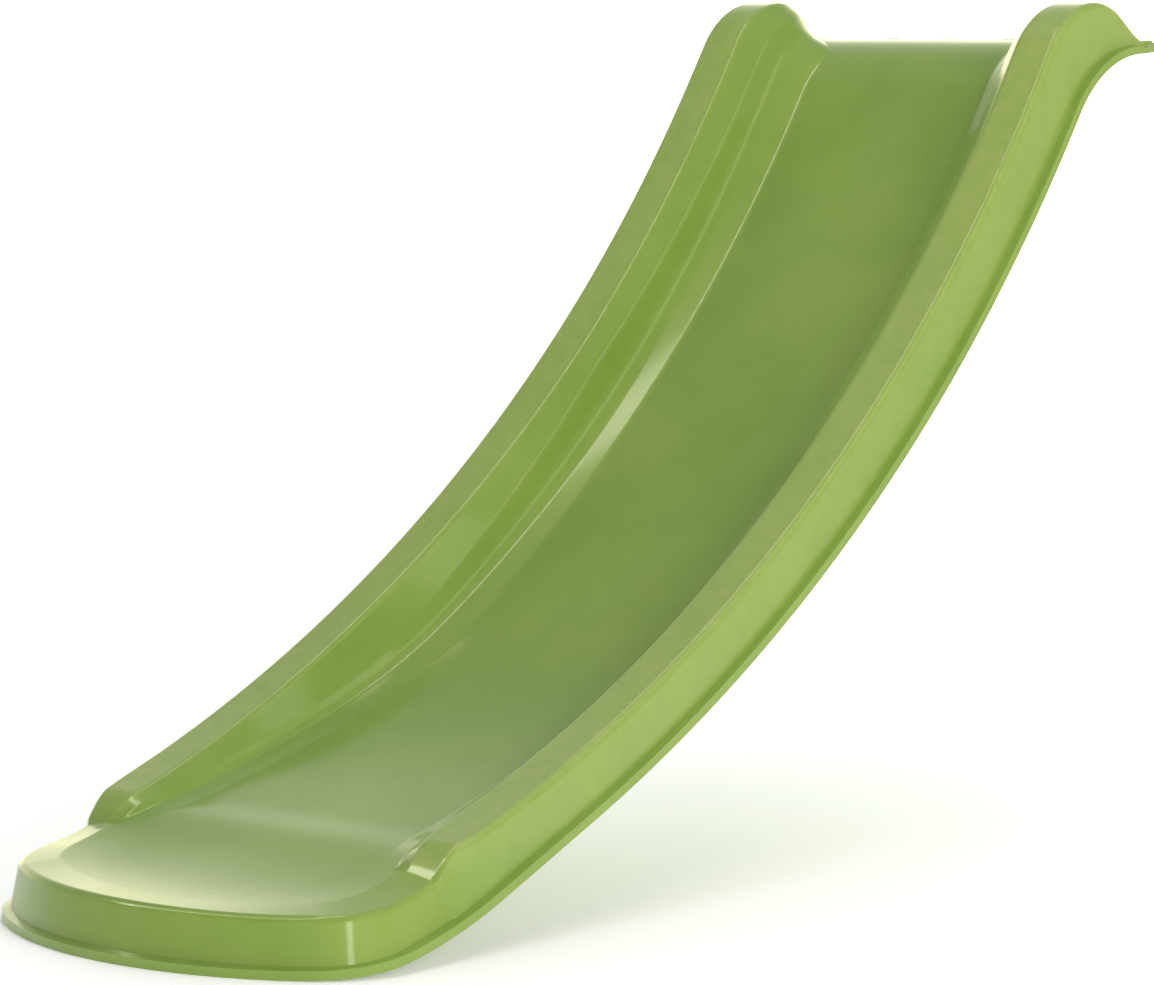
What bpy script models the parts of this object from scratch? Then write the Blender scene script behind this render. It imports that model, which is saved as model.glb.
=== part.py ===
"""A straight toddler slide: one moulded chute that hooks on a 600 mm platform, with its fixing screws.

Lengths are in metres and angles in degrees. Shapes are laid out in the ground frame: x across the
slide, y from the tip of the nose towards the platform, z up from the ground. The empty
"slide_frame" then moves everything so that the origin is where the flange rests on the platform.
"""

import math

import bmesh
import bpy
from mathutils import Vector

# Overall
PLATFORM_HEIGHT = 0.600
HALF_WIDTH = 0.181
WALL = 0.004

# Lower rim in side view: flat, lifting curve, straight, long sweep, curve under the flange
RIM_FLAT = 0.0195
RIM_LIFT_RADIUS = 0.453
RIM_LIFT_ANGLE = 23.1
RIM_STRAIGHT = 0.0985
RIM_SWEEP_RADIUS = 1.3706
RIM_SWEEP_ANGLE = 55.0
RIM_TOP_RADIUS = 0.107

# Top of the rails in side view
RIDGE_CENTRE = (-0.232, 1.297)
RIDGE_RADIUS = 1.283
HUMP_HEIGHT = 0.0355
HUMP_FRONT_RADIUS = 0.074
HUMP_BACK_RADIUS = 0.054
HUMP_BACK_ANGLE = -36.0
HUMP_FOOT_RADIUS = 0.012

# Chute floor, as a depth below the rails
FLOOR_DEPTH_END = 0.0105
FLOOR_DEPTH = 0.043
FLOOR_DEPTH_FROM = 0.13
FLOOR_DEPTH_TO = 0.47
FLOOR_TOP_RADIUS = 0.090

# Nose in plan
NOSE_BULGE = 0.0616
NOSE_CORNER = 0.0767
NOSE_HEIGHT = 0.040
NOSE_SIDE_DROP = 0.005
NOSE_SPINE_START = 0.075

# Rail ends: where the rails rise out of the nose
RAIL_END_START = 0.152
RAIL_END_STOP = 0.185
SIDE_STEP = 0.30

# Section, as distances inwards from the outer edge of the rim
RIM_HEIGHT = 0.0065
RIM_SLOPE = 0.001
RIM_WIDTH_NOSE = 0.0085
RIM_WIDTH_CORNER = 0.0050
RIM_WIDTH_SIDE = 0.0082
RIM_WIDTH_RAIL = 0.0058
SHOULDER_NOSE = 0.0156
SHOULDER_CORNER = 0.0115
SHOULDER_SIDE = 0.0140
SHOULDER_RAIL = 0.0070
CREST = 0.043
CREST_BEHIND = 0.032
CREST_TAPER = 0.005
BEND_RUN = 0.0175
FOOT_RUN = 0.0245
EDGE_RUN = 0.050
LEAST_RUN = 0.48
LEAST_RUN_BEHIND = 0.15

# Inner wall: how far down its bend and its foot lie, as shares of the depth, along the slide
BEND_DROPS = ((0.20, 0.50), (0.40, 0.70), (0.68, 0.20), (0.86, 0.32))
FOOT_DROPS = ((0.20, 0.86), (0.40, 0.90), (0.68, 0.80), (0.86, 0.72))

# Corner radii of the section
SHOULDER_RADIUS = 0.006
CREST_RADIUS = 0.0035
BEND_RADIUS = 0.010
FOOT_RADIUS = 0.020

# Flange
FLANGE_THICKNESS = 0.0055
FLANGE_TOP = PLATFORM_HEIGHT + FLANGE_THICKNESS
LEDGE_END = 0.981
TONGUE_END = 1.012
TONGUE_HALF_WIDTH = 0.120
TONGUE_CORNER = 0.014
MOUNT_Y = 0.990

# Webs inside the rails
WEB_AT = (0.24, 0.36, 0.48, 0.60, 0.72, 0.84)
WEB_THICKNESS = 0.003
WEB_INSET = 0.002
WEB_CLEAR = 0.010

# Fixings
SCREW_X = (-0.087, -0.029, 0.029, 0.087)
SCREW_LENGTH = 0.038
SCREW_RADIUS = 0.0024
SCREW_HEAD_RADIUS = 0.0049
SCREW_HEAD_HEIGHT = 0.0028
SCREW_HEAD_EDGE = 0.0004
SCREW_POINT = 0.007
SOCKET_WIDTH = 0.0032
SOCKET_DEPTH = 0.0018
WASHER_RADIUS = 0.0078
WASHER_RISE = 0.0006
WASHER_HEIGHT = 0.0034
WASHER_WALL = 0.0014
ROUND = 24
GAP = 0.0003

GREEN = (0.245, 0.385, 0.085)
STEEL = (0.60, 0.60, 0.58)


class Path:
    """A side-view path of straight lines and arcs, walked by its length."""

    def __init__(self, start, heading):
        self.pieces = []
        self.end = (start[0], start[1], math.radians(heading))
        self.length = 0.0

    def add(self, length, curvature):
        self.pieces.append((self.length, self.end, curvature))
        self.end = self.step(self.end, curvature, length)
        self.length += length
        return self

    def line(self, length):
        return self.add(length, 0.0)

    def arc(self, radius, to_heading):
        turn = math.radians(to_heading) - self.end[2]
        return self.add(abs(turn) * radius, math.copysign(1.0 / radius, turn))

    @staticmethod
    def step(start, curvature, distance):
        y, z, heading = start
        if curvature == 0.0:
            return y + distance * math.cos(heading), z + distance * math.sin(heading), heading
        turned = heading + curvature * distance
        y += (math.sin(turned) - math.sin(heading)) / curvature
        z -= (math.cos(turned) - math.cos(heading)) / curvature
        return y, z, turned

    def at(self, distance):
        begun = [piece for piece in self.pieces if piece[0] <= distance] or self.pieces[:1]
        offset, start, curvature = begun[-1]
        return self.step(start, curvature, distance - offset)


def mix(a, b, share):
    return a + (b - a) * share


def smooth(value, low, high):
    """Goes from 0 at low to 1 at high, level at both ends."""
    share = min(max((value - low) / (high - low), 0.0), 1.0)
    return share * share * (3.0 - 2.0 * share)


def rim_path():
    path = Path((0.0, 0.0), 0.0).line(RIM_FLAT).arc(RIM_LIFT_RADIUS, RIM_LIFT_ANGLE)
    return path.line(RIM_STRAIGHT).arc(RIM_SWEEP_RADIUS, RIM_SWEEP_ANGLE)


def ridge_height(y, z, heading):
    """How far the top of the rails lies from a point of the rim, square to the rim."""
    to_centre = (RIDGE_CENTRE[0] - y, RIDGE_CENTRE[1] - z)
    across = -to_centre[0] * math.sin(heading) + to_centre[1] * math.cos(heading)
    along = to_centre[0] * math.cos(heading) + to_centre[1] * math.sin(heading)
    return across - math.sqrt(RIDGE_RADIUS ** 2 - along ** 2)


def floor_depth(y):
    return mix(FLOOR_DEPTH_END, FLOOR_DEPTH, smooth(y, FLOOR_DEPTH_FROM, FLOOR_DEPTH_TO))


def lifted(y, height):
    """Height above the ground of a point held at a height above the lifting rim."""
    run = y - RIM_FLAT
    if run <= 0.0:
        return height
    return RIM_LIFT_RADIUS - math.sqrt((RIM_LIFT_RADIUS - height) ** 2 - run ** 2)


def climb(share):
    """How far a rail has risen out of the nose: quick at first, then levelling off."""
    return math.sin(math.pi / 2 * min(max(share, 0.0), 1.0)) ** 1.05


STEPS = (0, 0, 0, 3, 2, 2, 2, 0, 0, 0)


def between(table, value):
    """Reads a table of (place, share) pairs, with straight lines between the places."""
    share = table[0][1]
    for near, far in zip(table, table[1:]):
        along = (value - near[0]) / (far[0] - near[0])
        if along > 0.0:
            share = mix(near[1], far[1], min(along, 1.0))
    return share


def rounded(corners):
    """Rounds the corners of a section. A corner with n steps gives n + 1 points."""
    radii = (0, 0, 0, SHOULDER_RADIUS, CREST_RADIUS, BEND_RADIUS, FOOT_RADIUS, 0, 0, 0)
    points = []
    for place, (corner, radius, count) in enumerate(zip(corners, radii, STEPS)):
        if count == 0:
            points.append(corner)
            continue
        back = corners[place - 1] - corner
        ahead = corners[place + 1] - corner
        half_turn = (math.pi - back.angle(ahead, math.pi)) / 2
        reach = min(radius * math.tan(half_turn), 0.45 * back.length, 0.45 * ahead.length)
        reach = max(reach, 0.12 * min(back.length, ahead.length))
        first = corner + back.normalized() * reach
        last = corner + ahead.normalized() * reach
        weight = math.cos(half_turn)
        for number in range(count + 1):
            t = number / count
            parts = ((1 - t) ** 2, 2 * weight * t * (1 - t), t * t)
            total = first * parts[0] + corner * parts[1] + last * parts[2]
            points.append(total / sum(parts))
    return points


def nose_section(place, inward, share, corner):
    """Section through the nose, from the rim to the middle; corner is 1 halfway round a corner."""
    heading = math.asin(max(place[1] - RIM_FLAT, 0.0) / RIM_LIFT_RADIUS)
    tilt = math.sin(heading * smooth(place[1], 0.09, RAIL_END_START))

    def at(run, height):
        y = place[1] + inward[1] * run - tilt * height
        return Vector((place[0] + inward[0] * run, y, lifted(y, height)))

    rim_width = mix(mix(RIM_WIDTH_NOSE, RIM_WIDTH_SIDE, share), RIM_WIDTH_CORNER, corner)
    shoulder = mix(mix(SHOULDER_NOSE, SHOULDER_SIDE, share), SHOULDER_CORNER, corner)
    corners = [at(0.0, 0.0), at(0.0, RIM_HEIGHT), at(rim_width, RIM_HEIGHT + RIM_SLOPE)]
    drop = NOSE_SIDE_DROP * smooth(share, 0.0, 1.0)
    corners += [at(shoulder, NOSE_HEIGHT - drop), at(CREST, NOSE_HEIGHT)]
    spine_y = mix(NOSE_SPINE_START, RAIL_END_START, share) - tilt * NOSE_HEIGHT
    least = LEAST_RUN / (HALF_WIDTH - CREST)
    edge = EDGE_RUN * least
    fan = ((0.25, BEND_RUN * least), (0.5, FOOT_RUN * least), (0.68, edge))
    fan += ((0.84, mix(edge, 1.0, 0.5)), (1.0, 1.0))
    for front, side in fan:
        part = mix(front, side, smooth(share, 0.0, 1.0))
        y = mix(corners[4].y, spine_y, part)
        corners.append(Vector((corners[4].x * (1.0 - part), y, lifted(y, NOSE_HEIGHT))))
    return rounded(corners)


def rail_section(rim, ridge, floor, rise=1.0, behind=0.0):
    """Section through floor and rail, given as (y, z) points.

    rise goes from 0 to 1 where a rail begins, with a crisp step out in its side, and behind goes
    from 0 to 1 where it ends.
    """
    rim = Vector((HALF_WIDTH, rim[0], rim[1]))
    ridge = Vector((HALF_WIDTH, ridge[0], ridge[1]))
    floor = Vector((HALF_WIDTH, floor[0], floor[1]))
    up = (ridge - rim).normalized()
    top = floor.lerp(ridge, rise)
    depth = (top - floor).length

    def inwards(point, run):
        return Vector((point.x - run, point.y, point.z))

    spread = mix(mix(LEAST_RUN, 1.0, min(depth / FLOOR_DEPTH, 1.0)), LEAST_RUN_BEHIND, behind)
    end = CREST_TAPER * (1.0 - smooth(rim.y, RAIL_END_START, RAIL_END_STOP + 0.02))
    crest = mix(CREST, CREST_BEHIND, behind) - end
    lip = min(RIM_HEIGHT, 0.6 * (ridge - rim).length)
    edge = mix(HALF_WIDTH - crest - EDGE_RUN * spread, TONGUE_HALF_WIDTH, behind)
    out = smooth(rise, 0.0, SIDE_STEP)
    width = mix(RIM_WIDTH_SIDE, RIM_WIDTH_RAIL, out)
    corners = [rim, rim + up * lip, inwards(rim + up * (lip + RIM_SLOPE), width)]
    shoulder = top - up * NOSE_SIDE_DROP * (1.0 - rise)
    corners += [inwards(shoulder, mix(SHOULDER_SIDE, SHOULDER_RAIL + end, out)), inwards(top, crest)]
    for drops, run in ((BEND_DROPS, BEND_RUN), (FOOT_DROPS, FOOT_RUN)):
        corners.append(inwards(top.lerp(floor, between(drops, rim.y)), crest + run * spread))
    corners += [inwards(floor, HALF_WIDTH - x) for x in (edge, 0.5 * edge, 0.0)]
    return rounded(corners)


def nose_outline():
    """Places and inward directions along the rim of the nose, from its tip to its straight side."""
    front_radius = HALF_WIDTH ** 2 / (2 * NOSE_BULGE)
    corner_x = HALF_WIDTH - NOSE_CORNER
    corner_y = front_radius - math.sqrt((front_radius - NOSE_CORNER) ** 2 - corner_x ** 2)
    join = math.atan2(corner_x, front_radius - corner_y)
    outline = []
    for number in range(5):
        angle = join * number / 5
        place = (front_radius * math.sin(angle), front_radius * (1 - math.cos(angle)))
        outline.append((place, (-math.sin(angle), math.cos(angle))))
    for number in range(7):
        angle = mix(join, math.pi / 2, number / 6)
        place = (corner_x + NOSE_CORNER * math.sin(angle), corner_y - NOSE_CORNER * math.cos(angle))
        outline.append((place, (-math.sin(angle), math.cos(angle))))
    for number in range(1, 4):
        place = (HALF_WIDTH, mix(corner_y, RAIL_END_START, number / 4))
        outline.append((place, (-1.0, 0.0)))
    return outline


def sections():
    """All the sections of one half, from the tip of the nose to the ledge behind the humps."""
    outline = nose_outline()
    rows = []
    for number, spot in enumerate(outline):
        corner = math.sin(math.pi * smooth(number, 2, 14))
        rows.append(nose_section(*spot, number / len(outline), corner))

    path = rim_path()
    distance_of = [RIM_FLAT + RIM_LIFT_RADIUS * math.asin((y - RIM_FLAT) / RIM_LIFT_RADIUS)
                   for y in (RAIL_END_START, RAIL_END_STOP)]
    ends = [mix(distance_of[0], distance_of[1], number / 6) for number in range(7)]
    rest = [mix(distance_of[1], path.length, (number / 14) ** 1.15) for number in range(1, 15)]
    for distance in ends + rest:
        y, z, heading = path.at(distance)
        square = Vector((-math.sin(heading), math.cos(heading)))
        height = ridge_height(y, z, heading)
        rim = Vector((y, z))
        ridge = rim + square * height
        floor = ridge - square * floor_depth(y)
        rise = climb((y - RAIL_END_START) / (RAIL_END_STOP - RAIL_END_START))
        low = rim + square * NOSE_HEIGHT
        floor = low.lerp(floor, smooth(y, RAIL_END_START, RAIL_END_STOP + 0.03))
        rows.append(rail_section(rim, ridge, floor, rise))
    return rows + top_sections(rim, ridge, floor)


def top_sections(rim, ridge, floor):
    """Sections round the humps, from the end of the long sweep to the ledge behind them."""
    heading = math.degrees(math.asin((ridge[0] - RIDGE_CENTRE[0]) / RIDGE_RADIUS))
    sine = math.sin(math.radians(heading))
    cosine = math.cos(math.radians(heading))
    back = math.radians(HUMP_BACK_ANGLE)

    rim_top = Path(rim, RIM_SWEEP_ANGLE).arc(RIM_TOP_RADIUS, 0.0)
    height = PLATFORM_HEIGHT + HUMP_HEIGHT - ridge[1] - HUMP_FRONT_RADIUS * (1 - cosine)
    hump = Path(ridge, heading).line(height / sine)
    hump.arc(HUMP_FRONT_RADIUS, 0.0).arc(HUMP_BACK_RADIUS, HUMP_BACK_ANGLE)
    fall = hump.end[1] - FLANGE_TOP - HUMP_FOOT_RADIUS * (1 - math.cos(back))
    hump.line(fall / -math.sin(back)).arc(HUMP_FOOT_RADIUS, 0.0).line(0.002)
    bed = Path(floor, heading).line((FLANGE_TOP - floor[1] - FLOOR_TOP_RADIUS * (1 - cosine)) / sine)
    bed.arc(FLOOR_TOP_RADIUS, 0.0)
    bed.line(hump.end[0] - bed.end[0])

    rows = []
    count = 13
    for number in range(1, count + 1):
        share = number / count
        places = [path.at(share * path.length)[:2] for path in (rim_top, hump, bed)]
        rows.append(rail_section(*places, behind=smooth(share, 0.45, 1.0)))
    for share in (0.5, 1.0):
        y = mix(hump.end[0], LEDGE_END, share)
        rim_z = mix(rim_top.end[1], PLATFORM_HEIGHT - 0.0005, share)
        rows.append(rail_section((y, rim_z), (y, FLANGE_TOP), (y, FLANGE_TOP), behind=1.0))
    return rows


def tongue_rows(last):
    """The flange behind the ledge: the rows of the floor go on, with rounded corners."""
    inner = [point for point in last if point.x < TONGUE_HALF_WIDTH + 1e-6]
    widest = inner[0].x
    rows = []
    for share in (0.5, 1.0):
        rows.append((mix(LEDGE_END, TONGUE_END - TONGUE_CORNER, share), 0.0))
    for angle in (30.0, 60.0, 90.0):
        reach = math.sin(math.radians(angle))
        y = TONGUE_END - TONGUE_CORNER * (1 - reach)
        rows.append((y, TONGUE_CORNER * (1 - math.cos(math.radians(angle)))))
    grid = []
    for y, trim in rows:
        scale = (widest - trim) / widest
        grid.append([Vector((point.x * scale, y, FLANGE_TOP)) for point in inner])
    return inner, grid


def add_grid(mesh, rows):
    """Adds a skin of four-sided faces over rows of points, all with as many points."""
    lines = [[mesh.verts.new(point) for point in row] for row in rows]
    for near, far in zip(lines, lines[1:]):
        for place in range(len(near) - 1):
            mesh.faces.new((near[place], near[place + 1], far[place + 1], far[place]))
    return lines


def finish_object(name, mesh, collection, frame, material):
    data = bpy.data.meshes.new(name)
    mesh.to_mesh(data)
    mesh.free()
    piece = bpy.data.objects.new(name, data)
    collection.objects.link(piece)
    piece.parent = frame
    if material:
        data.materials.append(material)
        data.shade_smooth()
        data.set_sharp_from_angle(angle=math.radians(35))
    return piece


def material(name, colour, roughness, metallic):
    made = bpy.data.materials.new(name)
    made.use_nodes = True
    shader = made.node_tree.nodes["Principled BSDF"]
    shader.inputs["Base Color"].default_value = (*colour, 1.0)
    shader.inputs["Roughness"].default_value = roughness
    shader.inputs["Metallic"].default_value = metallic
    return made


def modifier(piece, kind, **settings):
    made = piece.modifiers.new(kind.title(), kind)
    for name, value in settings.items():
        setattr(made, name, value)
    return made


def slide_skin(rows, collection, frame, plastic):
    """The moulding's upper surface, one half, mirrored and given its wall thickness."""
    mesh = bmesh.new()
    add_grid(mesh, rows)
    inner, grid = tongue_rows(rows[-1])
    add_grid(mesh, [inner] + grid)
    bmesh.ops.remove_doubles(mesh, verts=mesh.verts, dist=1e-6)
    bmesh.ops.recalc_face_normals(mesh, faces=mesh.faces)
    if sum(face.normal.z for face in mesh.faces) < 0:
        bmesh.ops.reverse_faces(mesh, faces=mesh.faces)
    mesh.verts.index_update()
    thick = [vert.index for vert in mesh.verts
             if vert.co.z > FLANGE_TOP - 1e-6 and vert.co.y > LEDGE_END - 0.04]
    piece = finish_object("slide_shell", mesh, collection, frame, plastic)
    piece.vertex_groups.new(name="flange").add(thick, 1.0, "REPLACE")
    modifier(piece, "MIRROR", use_clip=True, merge_threshold=0.00001)
    modifier(piece, "SOLIDIFY", thickness=FLANGE_THICKNESS, offset=-1.0, use_even_offset=True,
             vertex_group="flange", thickness_vertex_group=WALL / FLANGE_THICKNESS)
    return piece


def rail_webs(rows, collection, frame):
    """Thin walls across the hollow of each rail, one pair at each place along the slide."""
    mesh = bmesh.new()
    for place in WEB_AT:
        row = min(rows, key=lambda spots: abs(spots[0].y - place))
        up = row[3] - row[2]
        up = Vector((0.0, up.y, up.z)).normalized()
        along = Vector((0.0, up.z, -up.y))
        outline = []
        for before, here, after in zip(row[2:13], row[3:14], row[4:15]):
            path = after - before
            inner = Vector((-path.dot(up), 0.0, 0.0)) + up * path.x
            outline.append(here + inner.normalized() * WEB_INSET)
        outline.append(row[2] + up * WEB_CLEAR - Vector((WEB_INSET, 0.0, 0.0)))
        for side in (1, -1):
            near, far = [[mesh.verts.new(Vector((side * p.x, p.y, p.z)) + along * shift)
                          for p in outline] for shift in (-WEB_THICKNESS / 2, WEB_THICKNESS / 2)]
            mesh.faces.new(near)
            mesh.faces.new(far)
            for a in range(len(outline)):
                b = (a + 1) % len(outline)
                mesh.faces.new((near[a], near[b], far[b], far[a]))
    bmesh.ops.recalc_face_normals(mesh, faces=mesh.faces)
    webs = finish_object("rail_webs", mesh, collection, frame, None)
    webs.hide_render = True
    webs.display_type = "WIRE"
    return webs


def turned(name, profile, centre, collection, frame, finish, socket=0):
    """A round body from (radius, height) pairs, top to bottom; the first ones may be six-sided."""
    mesh = bmesh.new()
    rings = []
    for number, (radius, height) in enumerate(profile):
        ring = []
        for step in range(ROUND):
            angle = 2 * math.pi * step / ROUND
            reach = radius
            if number < socket:
                reach /= math.cos((angle + math.pi / 6) % (math.pi / 3) - math.pi / 6)
            ring.append(mesh.verts.new((reach * math.cos(angle), reach * math.sin(angle), height)))
        rings.append(ring)
    closed = profile[0] == profile[-1]
    if closed:
        bmesh.ops.delete(mesh, geom=rings.pop(), context="VERTS")
        rings.append(rings[0])
    else:
        mesh.faces.new(rings[0])
        mesh.faces.new(rings[-1])
    for upper, lower in zip(rings, rings[1:]):
        for step in range(ROUND):
            ahead = (step + 1) % ROUND
            mesh.faces.new((upper[step], upper[ahead], lower[ahead], lower[step]))
    bmesh.ops.recalc_face_normals(mesh, faces=mesh.faces)
    piece = finish_object(name, mesh, collection, frame, finish)
    piece.location = centre
    return piece


def fixings(shell, parts, cutters, frame, steel):
    """Countersunk screws in flush cup washers, and their holes in the flange."""
    top = WASHER_RISE
    slope = (WASHER_RADIUS - SCREW_RADIUS - WASHER_WALL) / WASHER_HEIGHT
    inner = SCREW_HEAD_RADIUS + GAP
    for number, x in enumerate(SCREW_X, 1):
        centre = (x, MOUNT_Y, FLANGE_TOP)
        low = top - WASHER_HEIGHT
        ring = [(inner, top), (WASHER_RADIUS, top), (WASHER_RADIUS, 0.0)]
        ring += [(WASHER_RADIUS - slope * (WASHER_HEIGHT - WASHER_RISE) * 0.8, low)]
        ring += [(SCREW_RADIUS + GAP, low), (inner, top)]
        turned(f"cup_washer_{number}", ring, centre, parts, frame, steel)

        head = top - SCREW_HEAD_EDGE
        body = [(SOCKET_WIDTH / 2, top - SOCKET_DEPTH), (SOCKET_WIDTH / 2, top)]
        body += [(SCREW_HEAD_RADIUS - 0.0003, top), (SCREW_HEAD_RADIUS, head)]
        body += [(SCREW_RADIUS, top - SCREW_HEAD_HEIGHT), (SCREW_RADIUS, SCREW_POINT - SCREW_LENGTH)]
        body += [(0.0003, -SCREW_LENGTH)]
        turned(f"flange_screw_{number}", body, centre, parts, frame, steel, socket=2)

        wide = WASHER_RADIUS + GAP
        hole = [(wide, 0.002), (wide, -GAP)]
        hole += [(ring[3][0] + GAP, low - GAP), (SCREW_RADIUS + GAP, low - GAP)]
        hole += [(SCREW_RADIUS + GAP, -0.010)]
        cutter = turned(f"screw_hole_{number}", hole, centre, cutters, frame, None)
        cutter.hide_render = True
        cutter.display_type = "WIRE"
        modifier(shell, "BOOLEAN", object=cutter, operation="DIFFERENCE", solver="EXACT")


def main():
    for thing in list(bpy.data.objects):
        bpy.data.objects.remove(thing)
    parts = bpy.data.collections.new("toddler_slide")
    cutters = bpy.data.collections.new("cutters")
    cutters.hide_render = True
    for collection in (parts, cutters):
        bpy.context.scene.collection.children.link(collection)
    frame = bpy.data.objects.new("slide_frame", None)
    parts.objects.link(frame)
    frame.location = (0.0, -MOUNT_Y, -PLATFORM_HEIGHT)

    rows = sections()
    shell = slide_skin(rows, parts, frame, material("green_polyethylene", GREEN, 0.38, 0.0))
    webs = rail_webs(rows, cutters, frame)
    modifier(shell, "BOOLEAN", object=webs, operation="UNION", solver="EXACT")
    fixings(shell, parts, cutters, frame, material("zinc_plated_steel", STEEL, 0.35, 1.0))


main()
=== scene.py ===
"""A straight moulded toddler slide, shown on a pale studio floor.

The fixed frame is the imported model. The chute is rebuilt here with finer roundings on the same
curves, the screws get their threads, and everything gets its finish. Lengths are in metres.
Shapes are laid out in the ground frame (x across, y from the nose tip towards the platform, z up
from the ground) and are then moved so that the origin is where the flange rests on the platform.
"""

import math

import bmesh
import bpy
from mathutils import Matrix, Vector

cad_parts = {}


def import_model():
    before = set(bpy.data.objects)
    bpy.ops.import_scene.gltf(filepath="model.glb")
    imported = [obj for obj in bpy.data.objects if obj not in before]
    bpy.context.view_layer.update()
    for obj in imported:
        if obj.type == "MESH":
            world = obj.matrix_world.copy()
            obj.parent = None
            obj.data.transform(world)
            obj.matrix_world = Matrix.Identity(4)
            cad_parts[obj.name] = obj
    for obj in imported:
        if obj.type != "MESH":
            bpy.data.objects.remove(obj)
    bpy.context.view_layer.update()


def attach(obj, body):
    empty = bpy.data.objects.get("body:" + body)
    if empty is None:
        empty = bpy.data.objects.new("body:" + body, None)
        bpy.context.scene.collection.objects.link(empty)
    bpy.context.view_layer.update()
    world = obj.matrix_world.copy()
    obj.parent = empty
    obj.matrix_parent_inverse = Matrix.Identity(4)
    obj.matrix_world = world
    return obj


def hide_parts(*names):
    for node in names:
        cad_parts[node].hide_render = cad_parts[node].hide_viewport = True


# Overall
PLATFORM_HEIGHT = 0.600
HALF_WIDTH = 0.181
WALL = 0.004
WALL_EDGE = 0.0011

# Lower rim in side view
RIM_FLAT = 0.0195
RIM_LIFT_RADIUS = 0.453
RIM_LIFT_ANGLE = 23.1
RIM_STRAIGHT = 0.0985
RIM_SWEEP_RADIUS = 1.3706
RIM_SWEEP_ANGLE = 55.0
RIM_TOP_RADIUS = 0.107

# Top of the rails in side view
RIDGE_CENTRE = (-0.232, 1.297)
RIDGE_RADIUS = 1.283
HUMP_HEIGHT = 0.0352
HUMP_FRONT_RADIUS = 0.074
HUMP_BACK_RADIUS = 0.054
HUMP_BACK_ANGLE = -36.0
HUMP_FOOT_RADIUS = 0.012
HUMP_FOOT_FLAT = 0.002
RIM_DROP_BEHIND = 0.0005
NARROWING_FROM = 0.45

# Chute floor, as a depth below the rails
FLOOR_DEPTH_END = 0.0105
FLOOR_DEPTH = 0.043
FLOOR_DEPTH_FROM = 0.13
FLOOR_DEPTH_TO = 0.47
FLOOR_TOP_RADIUS = 0.090

# Nose in plan
NOSE_BULGE = 0.0616
NOSE_CORNER = 0.0767
NOSE_HEIGHT = 0.040
NOSE_SIDE_DROP = 0.005
NOSE_SPINE_START = 0.075
NOSE_TILT_FROM = 0.09

# Rail ends
RAIL_END_START = 0.152
RAIL_END_STOP = 0.185
SIDE_STEP = 0.30
FLOOR_BLEND = 0.030

# Section, as distances inwards from the outer edge of the rim
RIM_HEIGHT = 0.0065
RIM_SLOPE = 0.001
RIM_WIDTH_NOSE = 0.0085
RIM_WIDTH_CORNER = 0.0050
RIM_WIDTH_SIDE = 0.0082
RIM_WIDTH_RAIL = 0.0058
SHOULDER_NOSE = 0.0156
SHOULDER_CORNER = 0.0115
SHOULDER_SIDE = 0.0140
SHOULDER_RAIL = 0.0070
CREST = 0.043
CREST_BEHIND = 0.032
CREST_TAPER = 0.005
CREST_TAPER_RUN = 0.02
BEND_RUN = 0.0175
FOOT_RUN = 0.0245
EDGE_RUN = 0.050
LEAST_RUN = 0.48
LEAST_RUN_BEHIND = 0.15

# Inner wall: how far down its bend and its foot lie, as shares of the depth, along the slide
BEND_DROPS = ((0.20, 0.50), (0.40, 0.70), (0.68, 0.20), (0.86, 0.32))
FOOT_DROPS = ((0.20, 0.86), (0.40, 0.90), (0.68, 0.80), (0.86, 0.72))

# Corner radii of the section, and into how many pieces each rounding is cut
SHOULDER_RADIUS = 0.006
CREST_RADIUS = 0.0035
BEND_RADIUS = 0.010
FOOT_RADIUS = 0.020
EDGE_RADIUS = 0.005
STEPS = (0, 0, 0, 9, 6, 8, 8, 2, 0, 0)

# Flange and fixings
FLANGE_THICKNESS = 0.0055
FLANGE_TOP = PLATFORM_HEIGHT + FLANGE_THICKNESS
LEDGE_RUN = 0.04
LEDGE_END = 0.981
TONGUE_END = 1.012
TONGUE_HALF_WIDTH = 0.120
TONGUE_CORNER = 0.014
MOUNT_Y = 0.990
WEB_AT = (0.24, 0.36, 0.48, 0.60, 0.72, 0.84)
WEB_THICKNESS = 0.003
WEB_INSET = 0.002
WEB_CLEAR = 0.010
WEB_EDGE = 0.0004
SCREW_X = (-0.087, -0.029, 0.029, 0.087)
SCREW_LENGTH = 0.038
SCREW_RADIUS = 0.0024
SCREW_CORE = 0.0017
SCREW_PITCH = 0.0022
SCREW_HEAD_RADIUS = 0.0049
SCREW_POINT = 0.007
SCREW_TIP_RADIUS = 0.00025
SCREW_EDGE = 0.0003
HEAD_DEPTH = 0.0030
THREAD_FROM = 0.0065
THREAD_GAP = 0.0005
THREAD_RUN_IN = 0.002
THREAD_RUN_OUT = 0.005
THREAD_RIDGE = 0.4
SOCKET_WIDTH = 0.0032
SOCKET_DEPTH = 0.0018
SOCKET_EDGE = 0.0002
WASHER_RADIUS = 0.0078
WASHER_RISE = 0.0006
WASHER_HEIGHT = 0.0034
WASHER_EDGE = 0.0006
WASHER_TAPER = 0.0023
WASHER_PLAY = 0.0003

# Height in the fixed frame from which the rail tops are painted paler, as painted light for the extra
# light they catch
RAIL_TOP_FROM = -0.545

# Coarse stations along the slide, and how many fine ones stand for each of them
NOSE_FRONT = 5
NOSE_TURN = 11
NOSE_STATIONS = 15
CLIMB_STATIONS = 6
SWEEP_STATIONS = 14
HUMP_STATIONS = 13
FINE = 6

# From the ground frame, in which shapes are laid out, to the fixed frame
TO_ROW = (0.0, -MOUNT_Y, -PLATFORM_HEIGHT)
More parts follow.
